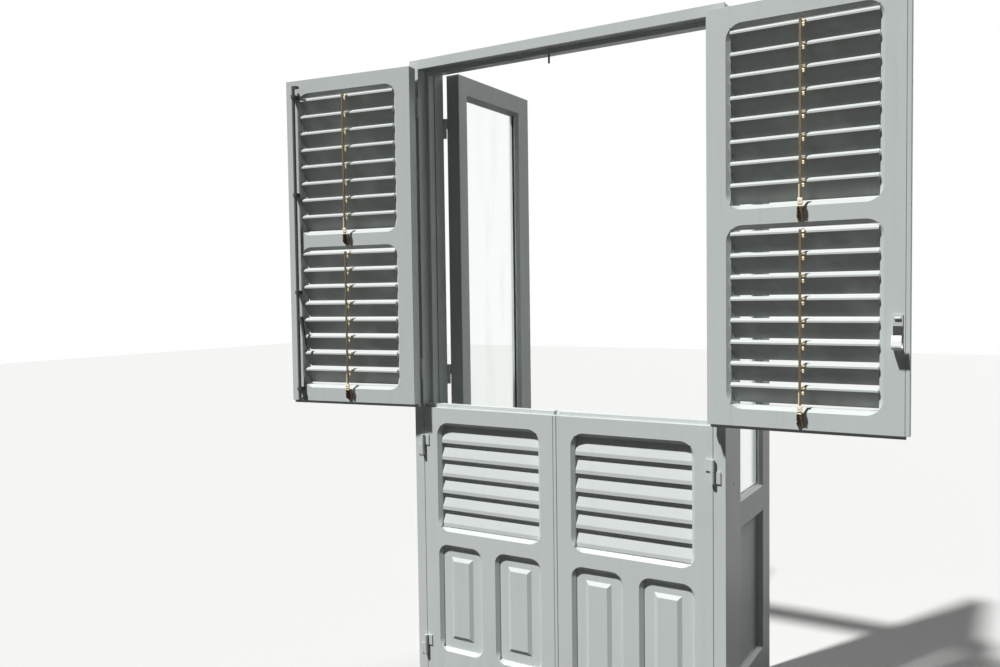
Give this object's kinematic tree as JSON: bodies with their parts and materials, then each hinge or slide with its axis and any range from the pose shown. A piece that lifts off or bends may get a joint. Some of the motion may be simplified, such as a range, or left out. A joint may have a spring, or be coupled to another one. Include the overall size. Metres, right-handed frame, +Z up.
{
  "type": "window with shutters",
  "caption": "Tall timber window frame with folding-back louvred shutters on tilt rods, panelled half doors below and inward opening glazed casements behind",
  "frame": {"origin": "Bottom centre of the frame on its street face: the underside of the threshold is Z = 0 and the street face is Y = 0.", "axes": "+Z is up, +Y goes through the frame into the room, and +X is to the right seen from the street."},
  "size_m": [2.2087, 0.899, 2.341],
  "materials": {
    "painted_timber": "pale grey-green gloss paint",
    "casement_paint": "grey satin paint",
    "painted_iron": "painted with the timber",
    "brass": "weathered brass",
    "glass": "clear float glass"
  },
  "bodies": {
    "frame": {"frame_head": "painted_timber", "frame_jamb_left": "painted_timber", "frame_jamb_right": "painted_timber", "threshold": "painted_timber", "frame_hinges": "painted_iron", "head_striker": "painted_iron"},
    "shutter_left": {"shutter_left_frame": "painted_timber", "shutter_left_catches": "brass", "espagnolette_guides": "painted_iron"},
    "shutter_right": {"shutter_right_frame": "painted_timber", "shutter_right_catches": "brass", "bolt_keeper": "painted_iron"},
    "espagnolette": {"espagnolette_rod": "painted_iron"},
    "espagnolette_lever": {"espagnolette_handle": "painted_iron"},
    "half_door_left": {"half_door_left_frame": "painted_timber", "half_door_left_slats": "painted_timber", "half_door_left_panels": "painted_timber"},
    "half_door_right": {"half_door_right_frame": "painted_timber", "half_door_right_slats": "painted_timber", "half_door_right_panels": "painted_timber"},
    "casement_left": {"casement_left_frame": "casement_paint", "casement_left_glass": "glass"},
    "casement_right": {"casement_right_frame": "casement_paint", "casement_right_glass": "glass"},
    "shutter_left_upper_slat_1": {"shutter_left_upper_slat_1": "painted_timber"},
    "shutter_left_upper_slat_2": {"shutter_left_upper_slat_2": "painted_timber"},
    "shutter_left_upper_slat_3": {"shutter_left_upper_slat_3": "painted_timber"},
    "shutter_left_upper_slat_4": {"shutter_left_upper_slat_4": "painted_timber"},
    "shutter_left_upper_slat_5": {"shutter_left_upper_slat_5": "painted_timber"},
    "shutter_left_upper_slat_6": {"shutter_left_upper_slat_6": "painted_timber"},
    "shutter_left_upper_slat_7": {"shutter_left_upper_slat_7": "painted_timber"},
    "shutter_left_upper_slat_8": {"shutter_left_upper_slat_8": "painted_timber"},
    "shutter_left_upper_rod": {"shutter_left_upper_rod": "brass"},
    "shutter_left_lower_slat_1": {"shutter_left_lower_slat_1": "painted_timber"},
    "shutter_left_lower_slat_2": {"shutter_left_lower_slat_2": "painted_timber"},
    "shutter_left_lower_slat_3": {"shutter_left_lower_slat_3": "painted_timber"},
    "shutter_left_lower_slat_4": {"shutter_left_lower_slat_4": "painted_timber"},
    "shutter_left_lower_slat_5": {"shutter_left_lower_slat_5": "painted_timber"},
    "shutter_left_lower_slat_6": {"shutter_left_lower_slat_6": "painted_timber"},
    "shutter_left_lower_slat_7": {"shutter_left_lower_slat_7": "painted_timber"},
    "shutter_left_lower_slat_8": {"shutter_left_lower_slat_8": "painted_timber"},
    "shutter_left_lower_rod": {"shutter_left_lower_rod": "brass"},
    "shutter_right_upper_slat_1": {"shutter_right_upper_slat_1": "painted_timber"},
    "shutter_right_upper_slat_2": {"shutter_right_upper_slat_2": "painted_timber"},
    "shutter_right_upper_slat_3": {"shutter_right_upper_slat_3": "painted_timber"},
    "shutter_right_upper_slat_4": {"shutter_right_upper_slat_4": "painted_timber"},
    "shutter_right_upper_slat_5": {"shutter_right_upper_slat_5": "painted_timber"},
    "shutter_right_upper_slat_6": {"shutter_right_upper_slat_6": "painted_timber"},
    "shutter_right_upper_slat_7": {"shutter_right_upper_slat_7": "painted_timber"},
    "shutter_right_upper_slat_8": {"shutter_right_upper_slat_8": "painted_timber"},
    "shutter_right_upper_rod": {"shutter_right_upper_rod": "brass"},
    "shutter_right_lower_slat_1": {"shutter_right_lower_slat_1": "painted_timber"},
    "shutter_right_lower_slat_2": {"shutter_right_lower_slat_2": "painted_timber"},
    "shutter_right_lower_slat_3": {"shutter_right_lower_slat_3": "painted_timber"},
    "shutter_right_lower_slat_4": {"shutter_right_lower_slat_4": "painted_timber"},
    "shutter_right_lower_slat_5": {"shutter_right_lower_slat_5": "painted_timber"},
    "shutter_right_lower_slat_6": {"shutter_right_lower_slat_6": "painted_timber"},
    "shutter_right_lower_slat_7": {"shutter_right_lower_slat_7": "painted_timber"},
    "shutter_right_lower_slat_8": {"shutter_right_lower_slat_8": "painted_timber"},
    "shutter_right_lower_rod": {"shutter_right_lower_rod": "brass"}
  },
  "joints": [
    {"name": "shutter_left_hinge", "type": "hinge", "parent": "frame", "child": "shutter_left", "pos_m": [-0.551, -0.009, 1.063], "axis": [0, 0, 1], "range_deg": [-8, 172]},
    {"name": "shutter_right_hinge", "type": "hinge", "parent": "frame", "child": "shutter_right", "pos_m": [0.551, -0.009, 1.063], "axis": [0, 0, 1], "range_deg": [-180, 0]},
    {"name": "half_door_left_hinge", "type": "hinge", "parent": "frame", "child": "half_door_left", "pos_m": [-0.551, -0.009, 0.2], "axis": [0, 0, 1], "range_deg": [-170, 0]},
    {"name": "half_door_right_hinge", "type": "hinge", "parent": "frame", "child": "half_door_right", "pos_m": [0.551, -0.009, 0.2], "axis": [0, 0, 1], "range_deg": [0, 170]},
    {"name": "casement_left_hinge", "type": "hinge", "parent": "frame", "child": "casement_left", "pos_m": [-0.551, 0.169, 0.2], "axis": [0, 0, 1], "range_deg": [-90, 10]},
    {"name": "casement_right_hinge", "type": "hinge", "parent": "frame", "child": "casement_right", "pos_m": [0.551, 0.169, 0.2], "axis": [0, 0, 1], "range_deg": [-10, 90]},
    {"name": "shutter_left_upper_slat_1_pivot", "type": "hinge", "parent": "shutter_left", "child": "shutter_left_upper_slat_1", "pos_m": [-0.81993, -0.07861, 2.20525], "axis": [-0.9903, -0.1392, 0], "range_deg": [-50, 24]},
    {"name": "shutter_left_upper_slat_2_pivot", "type": "hinge", "parent": "shutter_left", "child": "shutter_left_upper_slat_2", "pos_m": [-0.81993, -0.07861, 2.14175], "axis": [-0.9903, -0.1392, 0], "range_deg": [-50, 24]},
    {"name": "shutter_left_upper_slat_3_pivot", "type": "hinge", "parent": "shutter_left", "child": "shutter_left_upper_slat_3", "pos_m": [-0.81993, -0.07861, 2.07825], "axis": [-0.9903, -0.1392, 0], "range_deg": [-50, 24]},
    {"name": "shutter_left_upper_slat_4_pivot", "type": "hinge", "parent": "shutter_left", "child": "shutter_left_upper_slat_4", "pos_m": [-0.81993, -0.07861, 2.01475], "axis": [-0.9903, -0.1392, 0], "range_deg": [-50, 24]},
    {"name": "shutter_left_upper_slat_5_pivot", "type": "hinge", "parent": "shutter_left", "child": "shutter_left_upper_slat_5", "pos_m": [-0.81993, -0.07861, 1.95125], "axis": [-0.9903, -0.1392, 0], "range_deg": [-50, 24]},
    {"name": "shutter_left_upper_slat_6_pivot", "type": "hinge", "parent": "shutter_left", "child": "shutter_left_upper_slat_6", "pos_m": [-0.81993, -0.07861, 1.88775], "axis": [-0.9903, -0.1392, 0], "range_deg": [-50, 24]},
    {"name": "shutter_left_upper_slat_7_pivot", "type": "hinge", "parent": "shutter_left", "child": "shutter_left_upper_slat_7", "pos_m": [-0.81993, -0.07861, 1.82425], "axis": [-0.9903, -0.1392, 0], "range_deg": [-50, 24]},
    {"name": "shutter_left_upper_slat_8_pivot", "type": "hinge", "parent": "shutter_left", "child": "shutter_left_upper_slat_8", "pos_m": [-0.81993, -0.07861, 1.76075], "axis": [-0.9903, -0.1392, 0], "range_deg": [-50, 24]},
    {"name": "shutter_left_upper_rod_link", "type": "hinge", "parent": "shutter_left_upper_slat_1", "child": "shutter_left_upper_rod", "pos_m": [-0.81524, -0.11198, 2.22644], "axis": [-0.9903, -0.1392, 0], "range_deg": [-24, 50]},
    {"name": "shutter_left_lower_slat_1_pivot", "type": "hinge", "parent": "shutter_left", "child": "shutter_left_lower_slat_1", "pos_m": [-0.81993, -0.07861, 1.61925], "axis": [-0.9903, -0.1392, 0], "range_deg": [-50, 24]},
    {"name": "shutter_left_lower_slat_2_pivot", "type": "hinge", "parent": "shutter_left", "child": "shutter_left_lower_slat_2", "pos_m": [-0.81993, -0.07861, 1.55575], "axis": [-0.9903, -0.1392, 0], "range_deg": [-50, 24]},
    {"name": "shutter_left_lower_slat_3_pivot", "type": "hinge", "parent": "shutter_left", "child": "shutter_left_lower_slat_3", "pos_m": [-0.81993, -0.07861, 1.49225], "axis": [-0.9903, -0.1392, 0], "range_deg": [-50, 24]},
    {"name": "shutter_left_lower_slat_4_pivot", "type": "hinge", "parent": "shutter_left", "child": "shutter_left_lower_slat_4", "pos_m": [-0.81993, -0.07861, 1.42875], "axis": [-0.9903, -0.1392, 0], "range_deg": [-50, 24]},
    {"name": "shutter_left_lower_slat_5_pivot", "type": "hinge", "parent": "shutter_left", "child": "shutter_left_lower_slat_5", "pos_m": [-0.81993, -0.07861, 1.36525], "axis": [-0.9903, -0.1392, 0], "range_deg": [-50, 24]},
    {"name": "shutter_left_lower_slat_6_pivot", "type": "hinge", "parent": "shutter_left", "child": "shutter_left_lower_slat_6", "pos_m": [-0.81993, -0.07861, 1.30175], "axis": [-0.9903, -0.1392, 0], "range_deg": [-50, 24]},
    {"name": "shutter_left_lower_slat_7_pivot", "type": "hinge", "parent": "shutter_left", "child": "shutter_left_lower_slat_7", "pos_m": [-0.81993, -0.07861, 1.23825], "axis": [-0.9903, -0.1392, 0], "range_deg": [-50, 24]},
    {"name": "shutter_left_lower_slat_8_pivot", "type": "hinge", "parent": "shutter_left", "child": "shutter_left_lower_slat_8", "pos_m": [-0.81993, -0.07861, 1.17475], "axis": [-0.9903, -0.1392, 0], "range_deg": [-50, 24]},
    {"name": "shutter_left_lower_rod_link", "type": "hinge", "parent": "shutter_left_lower_slat_1", "child": "shutter_left_lower_rod", "pos_m": [-0.81524, -0.11198, 1.64044], "axis": [-0.9903, -0.1392, 0], "range_deg": [-24, 50]},
    {"name": "shutter_right_upper_slat_1_pivot", "type": "hinge", "parent": "shutter_right", "child": "shutter_right_upper_slat_1", "pos_m": [0.827, -0.0405, 2.20525], "axis": [-1, 0, 0], "range_deg": [-50, 24]},
    {"name": "shutter_right_upper_slat_2_pivot", "type": "hinge", "parent": "shutter_right", "child": "shutter_right_upper_slat_2", "pos_m": [0.827, -0.0405, 2.14175], "axis": [-1, 0, 0], "range_deg": [-50, 24]},
    {"name": "shutter_right_upper_slat_3_pivot", "type": "hinge", "parent": "shutter_right", "child": "shutter_right_upper_slat_3", "pos_m": [0.827, -0.0405, 2.07825], "axis": [-1, 0, 0], "range_deg": [-50, 24]},
    {"name": "shutter_right_upper_slat_4_pivot", "type": "hinge", "parent": "shutter_right", "child": "shutter_right_upper_slat_4", "pos_m": [0.827, -0.0405, 2.01475], "axis": [-1, 0, 0], "range_deg": [-50, 24]},
    {"name": "shutter_right_upper_slat_5_pivot", "type": "hinge", "parent": "shutter_right", "child": "shutter_right_upper_slat_5", "pos_m": [0.827, -0.0405, 1.95125], "axis": [-1, 0, 0], "range_deg": [-50, 24]},
    {"name": "shutter_right_upper_slat_6_pivot", "type": "hinge", "parent": "shutter_right", "child": "shutter_right_upper_slat_6", "pos_m": [0.827, -0.0405, 1.88775], "axis": [-1, 0, 0], "range_deg": [-50, 24]},
    {"name": "shutter_right_upper_slat_7_pivot", "type": "hinge", "parent": "shutter_right", "child": "shutter_right_upper_slat_7", "pos_m": [0.827, -0.0405, 1.82425], "axis": [-1, 0, 0], "range_deg": [-50, 24]},
    {"name": "shutter_right_upper_slat_8_pivot", "type": "hinge", "parent": "shutter_right", "child": "shutter_right_upper_slat_8", "pos_m": [0.827, -0.0405, 1.76075], "axis": [-1, 0, 0], "range_deg": [-50, 24]},
    {"name": "shutter_right_upper_rod_link", "type": "hinge", "parent": "shutter_right_upper_slat_1", "child": "shutter_right_upper_rod", "pos_m": [0.827, -0.07421, 2.22644], "axis": [-1, 0, 0], "range_deg": [-24, 50]},
    {"name": "shutter_right_lower_slat_1_pivot", "type": "hinge", "parent": "shutter_right", "child": "shutter_right_lower_slat_1", "pos_m": [0.827, -0.0405, 1.61925], "axis": [-1, 0, 0], "range_deg": [-50, 24]},
    {"name": "shutter_right_lower_slat_2_pivot", "type": "hinge", "parent": "shutter_right", "child": "shutter_right_lower_slat_2", "pos_m": [0.827, -0.0405, 1.55575], "axis": [-1, 0, 0], "range_deg": [-50, 24]},
    {"name": "shutter_right_lower_slat_3_pivot", "type": "hinge", "parent": "shutter_right", "child": "shutter_right_lower_slat_3", "pos_m": [0.827, -0.0405, 1.49225], "axis": [-1, 0, 0], "range_deg": [-50, 24]},
    {"name": "shutter_right_lower_slat_4_pivot", "type": "hinge", "parent": "shutter_right", "child": "shutter_right_lower_slat_4", "pos_m": [0.827, -0.0405, 1.42875], "axis": [-1, 0, 0], "range_deg": [-50, 24]},
    {"name": "shutter_right_lower_slat_5_pivot", "type": "hinge", "parent": "shutter_right", "child": "shutter_right_lower_slat_5", "pos_m": [0.827, -0.0405, 1.36525], "axis": [-1, 0, 0], "range_deg": [-50, 24]},
    {"name": "shutter_right_lower_slat_6_pivot", "type": "hinge", "parent": "shutter_right", "child": "shutter_right_lower_slat_6", "pos_m": [0.827, -0.0405, 1.30175], "axis": [-1, 0, 0], "range_deg": [-50, 24]},
    {"name": "shutter_right_lower_slat_7_pivot", "type": "hinge", "parent": "shutter_right", "child": "shutter_right_lower_slat_7", "pos_m": [0.827, -0.0405, 1.23825], "axis": [-1, 0, 0], "range_deg": [-50, 24]},
    {"name": "shutter_right_lower_slat_8_pivot", "type": "hinge", "parent": "shutter_right", "child": "shutter_right_lower_slat_8", "pos_m": [0.827, -0.0405, 1.17475], "axis": [-1, 0, 0], "range_deg": [-50, 24]},
    {"name": "shutter_right_lower_rod_link", "type": "hinge", "parent": "shutter_right_lower_slat_1", "child": "shutter_right_lower_rod", "pos_m": [0.827, -0.07421, 1.64044], "axis": [-1, 0, 0], "range_deg": [-24, 50]},
    {"name": "espagnolette_turn", "type": "hinge", "parent": "shutter_left", "child": "espagnolette", "pos_m": [-1.03235, -0.14936, 1.083], "axis": [0, 0, 1], "range_deg": [-170, 0]},
    {"name": "lever_lift", "type": "hinge", "parent": "espagnolette", "child": "espagnolette_lever", "pos_m": [-1.01735, -0.14936, 1.396], "axis": [0, -1, 0], "range_deg": [0, 60]}
  ],
  "couplings": [
    {"joint": "shutter_left_upper_slat_2_pivot", "follows": "shutter_left_upper_slat_1_pivot", "ratio": 1},
    {"joint": "shutter_left_upper_slat_3_pivot", "follows": "shutter_left_upper_slat_1_pivot", "ratio": 1},
    {"joint": "shutter_left_upper_slat_4_pivot", "follows": "shutter_left_upper_slat_1_pivot", "ratio": 1},
    {"joint": "shutter_left_upper_slat_5_pivot", "follows": "shutter_left_upper_slat_1_pivot", "ratio": 1},
    {"joint": "shutter_left_upper_slat_6_pivot", "follows": "shutter_left_upper_slat_1_pivot", "ratio": 1},
    {"joint": "shutter_left_upper_slat_7_pivot", "follows": "shutter_left_upper_slat_1_pivot", "ratio": 1},
    {"joint": "shutter_left_upper_slat_8_pivot", "follows": "shutter_left_upper_slat_1_pivot", "ratio": 1},
    {"joint": "shutter_left_upper_rod_link", "follows": "shutter_left_upper_slat_1_pivot", "ratio": -1},
    {"joint": "shutter_left_lower_slat_2_pivot", "follows": "shutter_left_lower_slat_1_pivot", "ratio": 1},
    {"joint": "shutter_left_lower_slat_3_pivot", "follows": "shutter_left_lower_slat_1_pivot", "ratio": 1},
    {"joint": "shutter_left_lower_slat_4_pivot", "follows": "shutter_left_lower_slat_1_pivot", "ratio": 1},
    {"joint": "shutter_left_lower_slat_5_pivot", "follows": "shutter_left_lower_slat_1_pivot", "ratio": 1},
    {"joint": "shutter_left_lower_slat_6_pivot", "follows": "shutter_left_lower_slat_1_pivot", "ratio": 1},
    {"joint": "shutter_left_lower_slat_7_pivot", "follows": "shutter_left_lower_slat_1_pivot", "ratio": 1},
    {"joint": "shutter_left_lower_slat_8_pivot", "follows": "shutter_left_lower_slat_1_pivot", "ratio": 1},
    {"joint": "shutter_left_lower_rod_link", "follows": "shutter_left_lower_slat_1_pivot", "ratio": -1},
    {"joint": "shutter_right_upper_slat_2_pivot", "follows": "shutter_right_upper_slat_1_pivot", "ratio": 1},
    {"joint": "shutter_right_upper_slat_3_pivot", "follows": "shutter_right_upper_slat_1_pivot", "ratio": 1},
    {"joint": "shutter_right_upper_slat_4_pivot", "follows": "shutter_right_upper_slat_1_pivot", "ratio": 1},
    {"joint": "shutter_right_upper_slat_5_pivot", "follows": "shutter_right_upper_slat_1_pivot", "ratio": 1},
    {"joint": "shutter_right_upper_slat_6_pivot", "follows": "shutter_right_upper_slat_1_pivot", "ratio": 1},
    {"joint": "shutter_right_upper_slat_7_pivot", "follows": "shutter_right_upper_slat_1_pivot", "ratio": 1},
    {"joint": "shutter_right_upper_slat_8_pivot", "follows": "shutter_right_upper_slat_1_pivot", "ratio": 1},
    {"joint": "shutter_right_upper_rod_link", "follows": "shutter_right_upper_slat_1_pivot", "ratio": -1},
    {"joint": "shutter_right_lower_slat_2_pivot", "follows": "shutter_right_lower_slat_1_pivot", "ratio": 1},
    {"joint": "shutter_right_lower_slat_3_pivot", "follows": "shutter_right_lower_slat_1_pivot", "ratio": 1},
    {"joint": "shutter_right_lower_slat_4_pivot", "follows": "shutter_right_lower_slat_1_pivot", "ratio": 1},
    {"joint": "shutter_right_lower_slat_5_pivot", "follows": "shutter_right_lower_slat_1_pivot", "ratio": 1},
    {"joint": "shutter_right_lower_slat_6_pivot", "follows": "shutter_right_lower_slat_1_pivot", "ratio": 1},
    {"joint": "shutter_right_lower_slat_7_pivot", "follows": "shutter_right_lower_slat_1_pivot", "ratio": 1},
    {"joint": "shutter_right_lower_slat_8_pivot", "follows": "shutter_right_lower_slat_1_pivot", "ratio": 1},
    {"joint": "shutter_right_lower_rod_link", "follows": "shutter_right_lower_slat_1_pivot", "ratio": -1}
  ]
}
